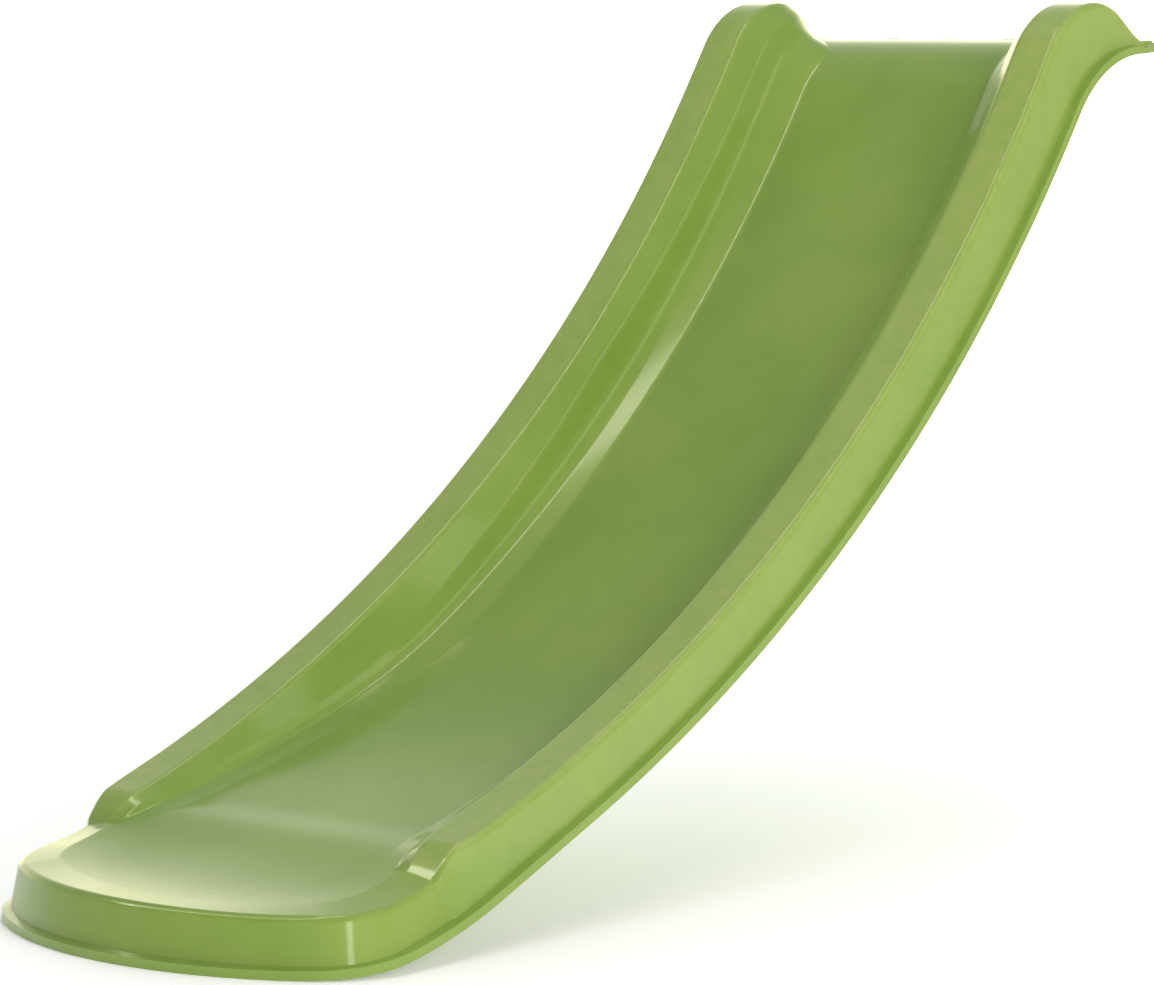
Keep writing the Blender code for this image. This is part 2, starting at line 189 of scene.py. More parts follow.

# The plastic's two base colours, that of its grain, and the paler colour painted on the rail tops as
# painted light
PLASTIC_DARK = (0.192, 0.330, 0.054, 1.0)
PLASTIC_LIGHT = (0.232, 0.368, 0.070, 1.0)
PLASTIC_GRAIN = (0.27, 0.40, 0.11, 1.0)
PLASTIC_PAINTED_RAIL_TOP_LIGHT = (0.34, 0.46, 0.13, 1.0)

# Camera, in the fixed frame
CAMERA_PLACE = (2.1496, -2.0433 - MOUNT_Y, 0.6292 - PLATFORM_HEIGHT)
CAMERA_TURN = 40.37
CAMERA_TILT = 6.10
CAMERA_LENS = 140.8

# The floor and the wall of light behind the slide
FLOOR_GLOW = 0.22
FLOOR_FRONT = -9
STAGE_SIDE = 14
WALL_DISTANCE = 6.0
WALL_GLOW = 1.12
WALL_TOP = 2.0

# The room's brightness low down behind the slide, low down in front of it and, as a share, overhead
ROOM_BEHIND = 3.1
ROOM_FRONT = 0.9
ROOM_OVERHEAD = 0.24
ROOM_LOW_COLOUR = (1.0, 0.90, 0.62, 1.0)
ROOM_HIGH_COLOUR = (1.0, 1.0, 0.92, 1.0)

# Lamps: name, place, aim, which way the long side lies, size, power and colour
UPRIGHT = (0.0, 0.0, 1.0)
LIGHTS = (
    ("top_softbox", (0.5, 0.1, 2.7), (0.0, -0.5, -0.3), UPRIGHT,
     (2.0, 2.0), 31.0, (1.0, 1.0, 0.95)),
    ("right_softbox", (2.6, -1.2, 0.5), (0.0, -0.7, -0.3), UPRIGHT,
     (1.2, 1.2), 31.0, (1.0, 0.85, 0.78)),
    ("front_fill", (0.8, -3.4, 0.6), (0.0, -0.8, -0.4), UPRIGHT,
     (1.4, 1.4), 5.0, (1.0, 1.0, 0.92)),
    ("crest_strip", (-0.36, -0.72, 1.3), (-0.14, -0.45, -0.3), (0.33, -0.94, 0.0),
     (0.13, 1.4), 5.0, (1.0, 0.95, 0.80)),
    ("bend_strip", (1.07, -0.35, 0.93), (-0.1, -0.35, -0.2), (0.33, -0.86, -0.37),
     (0.35, 0.9), 1.8, (1.0, 0.95, 0.80)),
    ("nose_strip", (-0.9, -1.84, 1.3), (0.0, -0.95, -0.56), (1.0, 0.0, 0.0),
     (0.16, 2.0), 15.0, (1.0, 0.95, 0.80)),
    ("corner_strip", (2.5, -2.25, 0.35), (0.0, -0.9, -0.5), UPRIGHT,
     (0.4, 1.0), 10.0, (1.0, 0.96, 0.84)),
    ("front_softbox", (-2.2, -2.5, 1.4), (0.0, -0.8, -0.4), UPRIGHT,
     (0.35, 0.35), 8.0, (1.0, 0.96, 0.84)),
    ("floor_wash", (-2.4, 2.9, 2.4), (-2.4, 2.9, -0.6), (-0.65, 0.76, 0.0),
     (4.0, 6.0), 110.0, (0.97, 0.99, 1.0)),
)

# Lamps that only make highlights, and lamps that only brighten and leave no highlight
GLINTS = ("crest_strip", "bend_strip", "nose_strip", "front_softbox")
FILLS = ("top_softbox", "right_softbox", "front_fill", "floor_wash")


class Path:
    """A side-view path of straight lines and arcs, walked by its length."""

    def __init__(self, start, heading):
        self.pieces = []
        self.end = (start[0], start[1], math.radians(heading))
        self.length = 0.0

    def add(self, length, curvature):
        self.pieces.append((self.length, self.end, curvature))
        self.end = self.step(self.end, curvature, length)
        self.length += length
        return self

    def line(self, length):
        return self.add(length, 0.0)

    def arc(self, radius, to_heading):
        turn = math.radians(to_heading) - self.end[2]
        return self.add(abs(turn) * radius, math.copysign(1.0 / radius, turn))

    @staticmethod
    def step(start, curvature, distance):
        y, z, heading = start
        if curvature == 0.0:
            return y + distance * math.cos(heading), z + distance * math.sin(heading), heading
        turned = heading + curvature * distance
        y += (math.sin(turned) - math.sin(heading)) / curvature
        z -= (math.cos(turned) - math.cos(heading)) / curvature
        return y, z, turned

    def at(self, distance):
        begun = [piece for piece in self.pieces if piece[0] <= distance] or self.pieces[:1]
        offset, start, curvature = begun[-1]
        return self.step(start, curvature, distance - offset)


def mix(a, b, share):
    return a + (b - a) * share


def smooth(value, low, high):
    """Goes from 0 at low to 1 at high, level at both ends."""
    share = min(max((value - low) / (high - low), 0.0), 1.0)
    return share * share * (3.0 - 2.0 * share)


def ridge_height(y, z, heading):
    """How far the top of the rails lies from a point of the rim, square to the rim."""
    to_centre = (RIDGE_CENTRE[0] - y, RIDGE_CENTRE[1] - z)
    across = -to_centre[0] * math.sin(heading) + to_centre[1] * math.cos(heading)
    along = to_centre[0] * math.cos(heading) + to_centre[1] * math.sin(heading)
    return across - math.sqrt(RIDGE_RADIUS ** 2 - along ** 2)


def floor_depth(y):
    return mix(FLOOR_DEPTH_END, FLOOR_DEPTH, smooth(y, FLOOR_DEPTH_FROM, FLOOR_DEPTH_TO))


def lifted(y, height):
    """Height above the ground of a point held at a height above the lifting rim."""
    run = y - RIM_FLAT
    if run <= 0.0:
        return height
    return RIM_LIFT_RADIUS - math.sqrt((RIM_LIFT_RADIUS - height) ** 2 - run ** 2)


def climb(share):
    """How far a rail has risen out of the nose: quick at first, then levelling off."""
    return math.sin(math.pi / 2 * min(max(share, 0.0), 1.0)) ** 1.05


def between(table, value):
    """Reads a table of (place, share) pairs, with straight lines between the places."""
    share = table[0][1]
    for near, far in zip(table, table[1:]):
        along = (value - near[0]) / (far[0] - near[0])
        if along > 0.0:
            share = mix(near[1], far[1], min(along, 1.0))
    return share


def rounded(corners):
    """Rounds the corners of a section. A corner with n steps gives n + 1 points."""
    radii = (0, 0, 0, SHOULDER_RADIUS, CREST_RADIUS, BEND_RADIUS, FOOT_RADIUS, EDGE_RADIUS, 0, 0)
    points = []
    for place, (corner, radius, count) in enumerate(zip(corners, radii, STEPS)):
        if count == 0:
            points.append(corner)
            continue
        back = corners[place - 1] - corner
        ahead = corners[place + 1] - corner
        half_turn = (math.pi - back.angle(ahead, math.pi)) / 2
        reach = min(radius * math.tan(half_turn), 0.45 * back.length, 0.45 * ahead.length)
        reach = max(reach, 0.12 * min(back.length, ahead.length))
        first = corner + back.normalized() * reach
        last = corner + ahead.normalized() * reach
        weight = math.cos(half_turn)
        for number in range(count + 1):
            t = number / count
            parts = ((1 - t) ** 2, 2 * weight * t * (1 - t), t * t)
            total = first * parts[0] + corner * parts[1] + last * parts[2]
            points.append(total / sum(parts))
    return points


def nose_section(place, inward, share, corner):
    """Section through the nose, from the rim to the middle; corner is 1 halfway round a corner."""
    heading = math.asin(max(place[1] - RIM_FLAT, 0.0) / RIM_LIFT_RADIUS)
    tilt = math.sin(heading * smooth(place[1], NOSE_TILT_FROM, RAIL_END_START))

    def at(run, height):
        y = place[1] + inward[1] * run - tilt * height
        return Vector((place[0] + inward[0] * run, y, lifted(y, height)))

    rim_width = mix(mix(RIM_WIDTH_NOSE, RIM_WIDTH_SIDE, share), RIM_WIDTH_CORNER, corner)
    shoulder = mix(mix(SHOULDER_NOSE, SHOULDER_SIDE, share), SHOULDER_CORNER, corner)
    drop = NOSE_SIDE_DROP * smooth(share, 0.0, 1.0)
    corners = [at(0.0, 0.0), at(0.0, RIM_HEIGHT), at(rim_width, RIM_HEIGHT + RIM_SLOPE)]
    corners += [at(shoulder, NOSE_HEIGHT - drop), at(CREST, NOSE_HEIGHT)]
    spine_y = mix(NOSE_SPINE_START, RAIL_END_START, share) - tilt * NOSE_HEIGHT
    least = LEAST_RUN / (HALF_WIDTH - CREST)
    edge = EDGE_RUN * least
    # How far in the other corners lie, as shares: at the front and where the rail begins
    fan = ((0.25, BEND_RUN * least), (0.5, FOOT_RUN * least), (0.68, edge))
    fan += ((0.84, mix(edge, 1.0, 0.5)), (1.0, 1.0))
    for front, side in fan:
        part = mix(front, side, smooth(share, 0.0, 1.0))
        y = mix(corners[4].y, spine_y, part)
        corners.append(Vector((corners[4].x * (1.0 - part), y, lifted(y, NOSE_HEIGHT))))
    return rounded(corners)


def rail_section(rim, ridge, floor, rise=1.0, behind=0.0):
    """Section through floor and rail, given as (y, z) points.

    rise goes from 0 to 1 where a rail begins, with a crisp step out in its side, and behind goes
    from 0 to 1 where it ends.
    """
    rim = Vector((HALF_WIDTH, rim[0], rim[1]))
    ridge = Vector((HALF_WIDTH, ridge[0], ridge[1]))
    floor = Vector((HALF_WIDTH, floor[0], floor[1]))
    up = (ridge - rim).normalized()
    top = floor.lerp(ridge, rise)
    depth = (top - floor).length

    def inwards(point, run):
        return Vector((point.x - run, point.y, point.z))

    spread = mix(mix(LEAST_RUN, 1.0, min(depth / FLOOR_DEPTH, 1.0)), LEAST_RUN_BEHIND, behind)
    end = CREST_TAPER * (1.0 - smooth(rim.y, RAIL_END_START, RAIL_END_STOP + CREST_TAPER_RUN))
    crest = mix(CREST, CREST_BEHIND, behind) - end
    lip = min(RIM_HEIGHT, 0.6 * (ridge - rim).length)
    edge = mix(HALF_WIDTH - crest - EDGE_RUN * spread, TONGUE_HALF_WIDTH, behind)
    out = smooth(rise, 0.0, SIDE_STEP)
    width = mix(RIM_WIDTH_SIDE, RIM_WIDTH_RAIL, out)
    corners = [rim, rim + up * lip, inwards(rim + up * (lip + RIM_SLOPE), width)]
    shoulder = top - up * NOSE_SIDE_DROP * (1.0 - rise)
    corners += [inwards(shoulder, mix(SHOULDER_SIDE, SHOULDER_RAIL + end, out)), inwards(top, crest)]
    for drops, run in ((BEND_DROPS, BEND_RUN), (FOOT_DROPS, FOOT_RUN)):
        corners.append(inwards(top.lerp(floor, between(drops, rim.y)), crest + run * spread))
    corners += [inwards(floor, HALF_WIDTH - x) for x in (edge, 0.5 * edge, 0.0)]
    return rounded(corners)


def nose_place(station):
    """A place on the rim of the nose, and the way inwards.

    The stations run along the front, round the corner and back to where the rail begins.
    """
    front_radius = HALF_WIDTH ** 2 / (2 * NOSE_BULGE)
    corner_x = HALF_WIDTH - NOSE_CORNER
    corner_y = front_radius - math.sqrt((front_radius - NOSE_CORNER) ** 2 - corner_x ** 2)
    join = math.atan2(corner_x, front_radius - corner_y)
    if station < NOSE_FRONT:
        angle = join * station / NOSE_FRONT
        place = (front_radius * math.sin(angle), front_radius * (1 - math.cos(angle)))
    elif station <= NOSE_TURN:
        angle = mix(join, math.pi / 2, (station - NOSE_FRONT) / (NOSE_TURN - NOSE_FRONT))
        place = (corner_x + NOSE_CORNER * math.sin(angle), corner_y - NOSE_CORNER * math.cos(angle))
    else:
        angle = math.pi / 2
        share = (station - NOSE_TURN) / (NOSE_STATIONS - NOSE_TURN)
        place = (HALF_WIDTH, mix(corner_y, RAIL_END_START, share))
    return place, (-math.sin(angle), math.cos(angle))


def nose_rows():
    """Sections round the nose, from the middle of its front."""
    rows = []
    for number in range(NOSE_STATIONS * FINE):
        station = number / FINE
        corner = math.sin(math.pi * smooth(station, 2, NOSE_STATIONS - 1))
        rows.append(nose_section(*nose_place(station), station / NOSE_STATIONS, corner))
    return rows


def chute_rows():
    """Sections along the sweep, closest together where the rails climb out of the nose."""
    path = Path((0.0, 0.0), 0.0).line(RIM_FLAT).arc(RIM_LIFT_RADIUS, RIM_LIFT_ANGLE)
    path.line(RIM_STRAIGHT).arc(RIM_SWEEP_RADIUS, RIM_SWEEP_ANGLE)
    begin, level = [RIM_FLAT + RIM_LIFT_RADIUS * math.asin((y - RIM_FLAT) / RIM_LIFT_RADIUS)
                    for y in (RAIL_END_START, RAIL_END_STOP)]
    count = CLIMB_STATIONS * FINE
    places = [mix(begin, level, number / count) for number in range(count)]
    count = SWEEP_STATIONS * FINE
    places += [mix(level, path.length, (number / count) ** 1.15) for number in range(count + 1)]
    rows = []
    for distance in places:
        y, z, heading = path.at(distance)
        square = Vector((-math.sin(heading), math.cos(heading)))
        rim = Vector((y, z))
        ridge = rim + square * ridge_height(y, z, heading)
        rise = climb((y - RAIL_END_START) / (RAIL_END_STOP - RAIL_END_START))
        nose_top = rim + square * NOSE_HEIGHT
        blend = smooth(y, RAIL_END_START, RAIL_END_STOP + FLOOR_BLEND)
        floor = nose_top.lerp(ridge - square * floor_depth(y), blend)
        rows.append(rail_section(rim, ridge, floor, rise))
    return rows, (rim, ridge, floor)


def top_rows(rim, ridge, floor):
    """Sections round the humps, from the end of the long sweep to the ledge behind them."""
    heading = math.degrees(math.asin((ridge[0] - RIDGE_CENTRE[0]) / RIDGE_RADIUS))
    sine = math.sin(math.radians(heading))
    cosine = math.cos(math.radians(heading))
    back = math.radians(HUMP_BACK_ANGLE)

    rim_top = Path(rim, RIM_SWEEP_ANGLE).arc(RIM_TOP_RADIUS, 0.0)
    height = PLATFORM_HEIGHT + HUMP_HEIGHT - ridge[1] - HUMP_FRONT_RADIUS * (1 - cosine)
    hump = Path(ridge, heading).line(height / sine)
    hump.arc(HUMP_FRONT_RADIUS, 0.0).arc(HUMP_BACK_RADIUS, HUMP_BACK_ANGLE)
    fall = hump.end[1] - FLANGE_TOP - HUMP_FOOT_RADIUS * (1 - math.cos(back))
    hump.line(fall / -math.sin(back)).arc(HUMP_FOOT_RADIUS, 0.0).line(HUMP_FOOT_FLAT)
    bed = Path(floor, heading).line((FLANGE_TOP - floor[1] - FLOOR_TOP_RADIUS * (1 - cosine)) / sine)
    bed.arc(FLOOR_TOP_RADIUS, 0.0)
    bed.line(hump.end[0] - bed.end[0])

    rows = []
    count = HUMP_STATIONS * FINE
    for number in range(1, count + 1):
        share = number / count
        places = [path.at(share * path.length)[:2] for path in (rim_top, hump, bed)]
        rows.append(rail_section(*places, behind=smooth(share, NARROWING_FROM, 1.0)))
    for share in (0.25, 0.5, 0.75, 1.0):
        y = mix(hump.end[0], LEDGE_END, share)
        rim_z = mix(rim_top.end[1], PLATFORM_HEIGHT - RIM_DROP_BEHIND, share)
        rows.append(rail_section((y, rim_z), (y, FLANGE_TOP), (y, FLANGE_TOP), behind=1.0))
    return rows


def tongue_rows(last):
    """The flange behind the ledge: the rows of the floor go on, with rounded corners."""
    inner = [point for point in last if point.x < TONGUE_HALF_WIDTH + 1e-6]
    widest = inner[0].x
    steps = [(mix(LEDGE_END, TONGUE_END - TONGUE_CORNER, share), 0.0) for share in (0.5, 1.0)]
    for number in range(1, 13):
        angle = math.radians(7.5 * number)
        steps.append((TONGUE_END - TONGUE_CORNER * (1 - math.sin(angle)),
                      TONGUE_CORNER * (1 - math.cos(angle))))
    grid = [inner]
    for y, trim in steps:
        scale = (widest - trim) / widest
        grid.append([Vector((point.x * scale, y, FLANGE_TOP)) for point in inner])
    return grid


def add_grid(mesh, rows):
    """Adds a skin of four-sided faces over rows of points, all with as many points."""
    lines = [[mesh.verts.new(point) for point in row] for row in rows]
    for near, far in zip(lines, lines[1:]):
        for place in range(len(near) - 1):
            mesh.faces.new((near[place], near[place + 1], far[place + 1], far[place]))


def make_piece(name, mesh, finish, moved):
    """Turns a mesh into a piece that rides on the slide's only body."""
    bmesh.ops.translate(mesh, verts=mesh.verts, vec=moved)
    data = bpy.data.meshes.new(name)
    mesh.to_mesh(data)
    mesh.free()
    data.materials.append(finish)
    data.shade_smooth()
    piece = bpy.data.objects.new(name, data)
    bpy.context.scene.collection.objects.link(piece)
    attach(piece, "root")
    return piece


def modifier(piece, kind, **settings):
    made = piece.modifiers.new(kind.title(), kind)
    for name, value in settings.items():
        setattr(made, name, value)


def chute_shell(rows, finish):
    """The moulding: its upper skin, given its wall thickness and soft edges."""
    mesh = bmesh.new()
    add_grid(mesh, rows)
    add_grid(mesh, tongue_rows(rows[-1]))
    bmesh.ops.remove_doubles(mesh, verts=mesh.verts, dist=1e-6)
    bmesh.ops.recalc_face_normals(mesh, faces=mesh.faces)
    if sum(face.normal.z for face in mesh.faces) < 0:
        bmesh.ops.reverse_faces(mesh, faces=mesh.faces)
    mesh.verts.index_update()
    thick = [vert.index for vert in mesh.verts
             if vert.co.z > FLANGE_TOP - 1e-6 and vert.co.y > LEDGE_END - LEDGE_RUN]
    piece = make_piece("moulded_chute", mesh, finish, TO_ROW)
    piece.vertex_groups.new(name="flange").add(thick, 1.0, "REPLACE")
    modifier(piece, "MIRROR", use_clip=True, merge_threshold=0.00001)
    modifier(piece, "SOLIDIFY", thickness=FLANGE_THICKNESS, offset=-1.0, use_even_offset=True,
             vertex_group="flange", thickness_vertex_group=WALL / FLANGE_THICKNESS)
    modifier(piece, "BEVEL", width=WALL_EDGE, segments=3, limit_method="ANGLE",
             angle_limit=math.radians(38))
    modifier(piece, "WEIGHTED_NORMAL", mode="FACE_AREA", weight=60, keep_sharp=False)
    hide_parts("slide_shell")


def rail_webs(rows, finish):
    """Thin walls across the hollow of each rail, one pair at each place along the slide."""
    mesh = bmesh.new()
    last = 6 + sum(STEPS[3:6])  # The point where the inner wall's foot begins
    for place in WEB_AT:
        row = min(rows, key=lambda spots: abs(spots[0].y - place))
        up = row[3] - row[2]
        up = Vector((0.0, up.y, up.z)).normalized()
        along = Vector((0.0, up.z, -up.y))
        outline = []
        for before, here, after in zip(row[2:last], row[3:last + 1], row[4:last + 2]):
            path = after - before
            inner = Vector((-path.dot(up), 0.0, 0.0)) + up * path.x
            outline.append(here + inner.normalized() * WEB_INSET)
        outline.append(row[2] + up * WEB_CLEAR - Vector((WEB_INSET, 0.0, 0.0)))
        for side in (1, -1):
            near, far = [[mesh.verts.new(Vector((side * p.x, p.y, p.z)) + along * shift)
                          for p in outline] for shift in (-WEB_THICKNESS / 2, WEB_THICKNESS / 2)]
            mesh.faces.new(near)
            mesh.faces.new(far)
            for a in range(len(outline)):
                b = (a + 1) % len(outline)
                mesh.faces.new((near[a], near[b], far[b], far[a]))
    bmesh.ops.recalc_face_normals(mesh, faces=mesh.faces)
    piece = make_piece("rail_webs", mesh, finish, TO_ROW)
    modifier(piece, "BEVEL", width=WEB_EDGE, segments=2, limit_method="ANGLE",
             angle_limit=math.radians(60))


def turned(name, profile, centre, finish, slot, reach=None, around=64):
    """A round piece from (radius, height) pairs; reach may change the radius with the angle."""
    mesh = bmesh.new()
    rings = []
    for number, (radius, height) in enumerate(profile):
        ring = []
        for step in range(around):
            angle = 2 * math.pi * step / around
            size = reach(number, radius, height, angle) if reach else radius
            ring.append(mesh.verts.new((size * math.cos(angle), size * math.sin(angle), height)))
        rings.append(ring)
    if profile[0] == profile[-1]:
        bmesh.ops.delete(mesh, geom=rings.pop(), context="VERTS")
        rings.append(rings[0])
    else:
        mesh.faces.new(rings[0])
        mesh.faces.new(rings[-1])
    for upper, lower in zip(rings, rings[1:]):
        for step in range(around):
            ahead = (step + 1) % around
            mesh.faces.new((upper[step], upper[ahead], lower[ahead], lower[step]))
    bmesh.ops.recalc_face_normals(mesh, faces=mesh.faces)
    piece = make_piece(name, mesh, finish, centre)
    piece.data.set_sharp_from_angle(angle=math.radians(40))
    return piece


def screw(number, centre, finish):
    """A countersunk wood screw with a six-sided socket and a rolled thread."""
    top = WASHER_RISE
    socket = SOCKET_WIDTH / 2
    profile = [(socket, top - SOCKET_DEPTH), (socket, top - SOCKET_EDGE), (socket + SOCKET_EDGE, top)]
    in_socket = len(profile)
    profile += [(SCREW_HEAD_RADIUS - SCREW_EDGE, top), (SCREW_HEAD_RADIUS, top - SCREW_EDGE)]
    profile += [(SCREW_HEAD_RADIUS, top - 0.0005), (SCREW_CORE + 0.0002, top - HEAD_DEPTH)]
    profile += [(SCREW_CORE, THREAD_GAP - THREAD_FROM)]
    start = len(profile)
    rows = 132
    bottom = -SCREW_LENGTH
    for step in range(rows + 1):
        height = mix(-THREAD_FROM, bottom, step / rows)
        core = SCREW_CORE * min(1.0, (height - bottom) / SCREW_POINT) + SCREW_TIP_RADIUS
        profile.append((core, height))

    def reach(place, radius, height, angle):
        if place < in_socket:
            return radius / math.cos((angle + math.pi / 6) % (math.pi / 3) - math.pi / 6)
        if place < start:
            return radius
        turn = (height / SCREW_PITCH + angle / (2 * math.pi)) % 1.0
        ridge = max(0.0, 1.0 - abs(turn - 0.5) * 2.0 / THREAD_RIDGE)
        full = SCREW_RADIUS - SCREW_CORE - SCREW_TIP_RADIUS
        fade = smooth(-height, THREAD_FROM - THREAD_GAP, THREAD_FROM + THREAD_RUN_IN)
        return radius + ridge * full * fade * smooth(height - bottom, 0.0, THREAD_RUN_OUT)

    piece = turned(f"wood_screw_{number}", profile, centre, finish, "screw_steel", reach, 48)
    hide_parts(f"flange_screw_{number}")


def washer(number, centre, finish):
    """A pressed cup washer with a rolled edge, set into the flange."""
    top = WASHER_RISE
    low = top - WASHER_HEIGHT
    inner = SCREW_HEAD_RADIUS + WASHER_PLAY
    profile = [(inner, top - WASHER_PLAY), (inner + WASHER_PLAY, top)]
    for step in range(7):
        angle = math.pi / 2 * step / 6
        profile.append((WASHER_RADIUS - WASHER_EDGE + WASHER_EDGE * math.sin(angle),
                        top - WASHER_EDGE + WASHER_EDGE * math.cos(angle)))
    profile += [(WASHER_RADIUS - WASHER_TAPER, low), (SCREW_RADIUS + WASHER_PLAY, low)]
    profile += [profile[0]]
    piece = turned(f"pressed_washer_{number}", profile, centre, finish, "washer_steel")
    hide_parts(f"cup_washer_{number}")


class Nodes:
    """Small helper for a material's node tree."""

    def __init__(self, name):
        self.material = bpy.data.materials.new(name)
        self.material.use_nodes = True
        self.tree = self.material.node_tree
        self.shader = self.tree.nodes["Principled BSDF"]

    def add(self, kind, **settings):
        node = self.tree.nodes.new(kind)
        for name, value in settings.items():
            if name in node.inputs:
                node.inputs[name].default_value = value
            else:
                setattr(node, name, value)
        return node

    def link(self, source, target):
        self.tree.links.new(source, target)

    def noise(self, scale, detail=2.0, roughness=0.5, stretch=(1.0, 1.0, 1.0)):
        place = self.add("ShaderNodeTexCoord")
        mapping = self.add("ShaderNodeMapping", Scale=stretch)
        noise = self.add("ShaderNodeTexNoise", Scale=scale, Detail=detail, Roughness=roughness)
        self.link(place.outputs["Object"], mapping.inputs["Vector"])
        self.link(mapping.outputs["Vector"], noise.inputs["Vector"])
        return noise.outputs["Fac"]

    def ramp(self, source, low, high, out_low=0.0, out_high=1.0):
        node = self.add("ShaderNodeMapRange", clamp=True)
        ends = {"From Min": low, "From Max": high, "To Min": out_low, "To Max": out_high}
        for name, value in ends.items():
            node.inputs[name].default_value = value
        self.link(source, node.inputs["Value"])
        return node.outputs["Result"]

    def rail_tops(self, share):
        """The share, kept on the bands along the tops of the two rails and nothing elsewhere."""
        place = self.add("ShaderNodeTexCoord")
        parts = self.add("ShaderNodeSeparateXYZ")
        self.link(place.outputs["Object"], parts.inputs[0])
        side = self.add("ShaderNodeMath", operation="ABSOLUTE")
        self.link(parts.outputs["X"], side.inputs[0])
        inner = self.ramp(side.outputs[0], HALF_WIDTH - CREST - 0.003, HALF_WIDTH - CREST + 0.004)
        outer = self.ramp(side.outputs[0], HALF_WIDTH - 0.004, HALF_WIDTH - 0.010)
        above = self.ramp(parts.outputs["Z"], RAIL_TOP_FROM, RAIL_TOP_FROM + 0.02)
        for mask in (inner, outer, above):
            product = self.add("ShaderNodeMath", operation="MULTIPLY")
            self.link(share, product.inputs[0])
            self.link(mask, product.inputs[1])
            share = product.outputs[0]
        return share

    def blend(self, share, first, second):
        node = self.add("ShaderNodeMix", data_type="RGBA")
        sockets = (node.inputs[0], node.inputs[6], node.inputs[7])
        for value, socket in zip((share, first, second), sockets):
            if isinstance(value, (int, float, tuple)):
                socket.default_value = value
            else:
                self.link(value, socket)
        return node.outputs[2]

    def bump(self, source, distance, strength, before=None):
        node = self.add("ShaderNodeBump", Distance=distance, Strength=strength)
        self.link(source, node.inputs["Height"])
        if before:
            self.link(before, node.inputs["Normal"])
        return node.outputs["Normal"]


def green_plastic():
    """Satin polyethylene: cloudy pigment, fine grain, rail tops painted paler as painted light, a
    clear top gloss.
    """
    made = Nodes("satin_green_plastic")
    cloud = made.ramp(made.noise(9.0, 3.0), 0.35, 0.65)
    grain = made.ramp(made.noise(420.0, 2.0), 0.3, 0.7)
    rubs = made.ramp(made.noise(60.0, 4.0, 0.6, (6.0, 0.35, 0.35)), 0.52, 0.78)
    colour = made.blend(cloud, PLASTIC_DARK, PLASTIC_LIGHT)
    colour = made.blend(made.ramp(grain, 0.0, 1.0, 0.0, 0.10), colour, PLASTIC_GRAIN)
    # Painted light: the rail tops are painted paler, mottled by noise, for the extra light they catch
    rail_top_painted_light = made.rail_tops(made.ramp(made.noise(80.0, 5.0, 0.6), 0.30, 0.75, 0.35, 0.80))
    colour = made.blend(rail_top_painted_light, colour, PLASTIC_PAINTED_RAIL_TOP_LIGHT)
    made.link(colour, made.shader.inputs["Base Color"])
    made.link(made.ramp(rubs, 0.0, 1.0, 0.42, 0.50), made.shader.inputs["Roughness"])
    waves = made.bump(made.noise(38.0, 2.0), 0.0012, 0.20)
    skin = made.bump(made.noise(900.0, 2.0), 0.00006, 0.35, waves)
    made.link(skin, made.shader.inputs["Normal"])
    gloss = {"IOR": 1.52, "Specular IOR Level": 0.3, "Specular Tint": (1.0, 0.86, 0.66, 1.0),
             "Coat Weight": 0.65, "Coat Roughness": 0.12, "Coat IOR": 1.5}
    for name, value in gloss.items():
        made.shader.inputs[name].default_value = value
    return made.material


def zinc():
    """Bright zinc plate with fine turning marks and slight clouding."""
    made = Nodes("zinc_plate")
    cloud = made.ramp(made.noise(700.0, 3.0), 0.35, 0.65)
    colour = made.blend(cloud, (0.56, 0.57, 0.55, 1.0), (0.68, 0.68, 0.65, 1.0))
    made.link(colour, made.shader.inputs["Base Color"])
    made.link(made.ramp(cloud, 0.0, 1.0, 0.22, 0.38), made.shader.inputs["Roughness"])
    made.link(made.bump(made.noise(2500.0, 2.0, 0.5, (1.0, 1.0, 12.0)), 0.00002, 0.4),
              made.shader.inputs["Normal"])
    made.shader.inputs["Metallic"].default_value = 1.0
    return made.material


def sheet(name, corners, paint):
    """A flat part of the studio."""
    data = bpy.data.meshes.new(name)
    data.from_pydata(corners, [], [tuple(range(len(corners)))])
    made = bpy.data.objects.new(name, data)
    bpy.context.scene.collection.objects.link(made)
    data.materials.append(paint)
    return made


def backdrop():
    """A pale floor and, far behind the slide, a wall of white light that nothing reflects."""
    turn = math.radians(CAMERA_TURN)

    def spot(right, away, up):
        x = right * math.cos(turn) - away * math.sin(turn)
        y = right * math.sin(turn) + away * math.cos(turn)
        return x, y, up - PLATFORM_HEIGHT

    paint = Nodes("pale_floor")
    tone = paint.ramp(paint.noise(0.8, 2.0), 0.3, 0.7)
    colour = paint.blend(tone, (0.92, 0.93, 0.96, 1.0), (0.94, 0.95, 0.98, 1.0))
    paint.link(colour, paint.shader.inputs["Base Color"])
    paint.shader.inputs["Roughness"].default_value = 0.9
    paint.shader.inputs["Emission Color"].default_value = (0.9, 0.95, 1.0, 1.0)
    paint.shader.inputs["Emission Strength"].default_value = FLOOR_GLOW
    side = STAGE_SIDE
    edge = WALL_DISTANCE
    sheet("studio_floor", [spot(-side, FLOOR_FRONT, 0), spot(side, FLOOR_FRONT, 0),
                           spot(side, edge, 0), spot(-side, edge, 0)], paint.material)
    glow = Nodes("white_light_wall")
    glow.shader.inputs["Base Color"].default_value = (0.9, 0.9, 0.9, 1.0)
    glow.shader.inputs["Emission Color"].default_value = (1.0, 0.99, 0.90, 1.0)
    glow.shader.inputs["Emission Strength"].default_value = WALL_GLOW
    wall = sheet("light_wall", [spot(-side, edge, 0), spot(side, edge, 0),
                                spot(side, edge, WALL_TOP), spot(-side, edge, WALL_TOP)],
                 glow.material)
    wall.visible_glossy = False


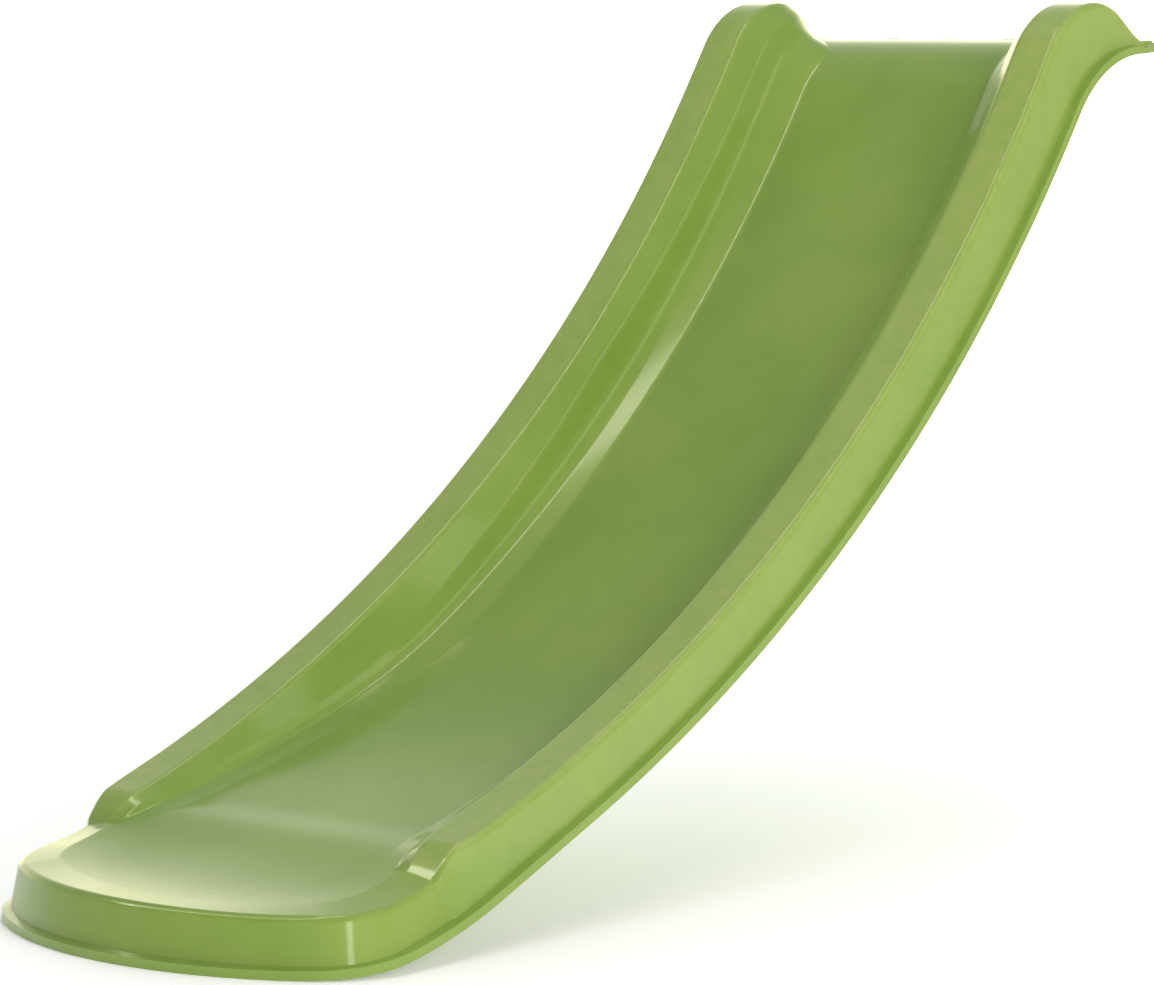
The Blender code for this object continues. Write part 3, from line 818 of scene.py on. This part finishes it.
def room_light():
    """A soft white room: brightest low down behind the slide, dimmer overhead and in front."""
    world = bpy.data.worlds.new("soft_room")
    bpy.context.scene.world = world
    world.use_nodes = True
    tree = world.node_tree
    place = tree.nodes.new("ShaderNodeTexCoord")
    parts = tree.nodes.new("ShaderNodeSeparateXYZ")
    tree.links.new(place.outputs["Generated"], parts.inputs[0])
    turn = math.radians(CAMERA_TURN)
    away = tree.nodes.new("ShaderNodeVectorMath")
    away.operation = "DOT_PRODUCT"
    away.inputs[1].default_value = (-math.sin(turn), math.cos(turn), 0.0)
    tree.links.new(place.outputs["Generated"], away.inputs[0])

    def graded(source, low, high, out_low, out_high):
        node = tree.nodes.new("ShaderNodeMapRange")
        node.interpolation_type = "SMOOTHSTEP"
        ends = {"From Min": low, "From Max": high, "To Min": out_low, "To Max": out_high}
        for name, value in ends.items():
            node.inputs[name].default_value = value
        tree.links.new(source, node.inputs["Value"])
        return node.outputs["Result"]

    depth = graded(away.outputs["Value"], 0.55, 0.97, ROOM_FRONT, ROOM_BEHIND)
    height = graded(parts.outputs["Z"], 0.10, 0.55, 1.0, ROOM_OVERHEAD)
    product = tree.nodes.new("ShaderNodeMath")
    product.operation = "MULTIPLY"
    tree.links.new(depth, product.inputs[0])
    tree.links.new(height, product.inputs[1])
    back = tree.nodes["Background"]
    tint = tree.nodes.new("ShaderNodeMix")
    tint.data_type = "RGBA"
    tint.inputs[6].default_value = ROOM_LOW_COLOUR
    tint.inputs[7].default_value = ROOM_HIGH_COLOUR
    tree.links.new(graded(parts.outputs["Z"], 0.10, 0.55, 0.0, 1.0), tint.inputs[0])
    tree.links.new(tint.outputs[2], back.inputs["Color"])
    tree.links.new(product.outputs[0], back.inputs["Strength"])


def studio():
    """The backdrop, the room, the lamps and the camera."""
    backdrop()
    room_light()
    for name, place, aim, along, size, power, colour in LIGHTS:
        lamp = bpy.data.lights.new(name, "AREA")
        lamp.shape = "RECTANGLE"
        lamp.size, lamp.size_y = size
        lamp.energy = power
        lamp.color = colour
        holder = bpy.data.objects.new(name, lamp)
        bpy.context.scene.collection.objects.link(holder)
        holder.location = place
        holder.visible_camera = False
        holder.visible_glossy = name not in FILLS
        holder.visible_diffuse = name not in GLINTS
        back = (Vector(place) - Vector(aim)).normalized()
        across = Vector(along).cross(back).normalized()
        holder.rotation_euler = Matrix((across, back.cross(across), back)).transposed().to_euler()

    lens = bpy.data.cameras.new("camera")
    lens.lens = CAMERA_LENS
    lens.sensor_width = 36.0
    lens.clip_end = 60.0
    camera = bpy.data.objects.new("camera", lens)
    bpy.context.scene.collection.objects.link(camera)
    camera.location = CAMERA_PLACE
    camera.rotation_euler = (math.radians(90 - CAMERA_TILT), 0.0, math.radians(CAMERA_TURN))
    bpy.context.scene.camera = camera
    bpy.context.scene.view_settings.view_transform = "Standard"


def main():
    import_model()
    plastic = green_plastic()
    rows = nose_rows()
    chute, tops = chute_rows()
    rows += chute + top_rows(*tops)
    chute_shell(rows, plastic)
    rail_webs(rows, plastic)
    steel = zinc()
    for number, x in enumerate(SCREW_X, 1):
        centre = (x, 0.0, FLANGE_THICKNESS)
        screw(number, centre, steel)
        washer(number, centre, steel)
    studio()


main()
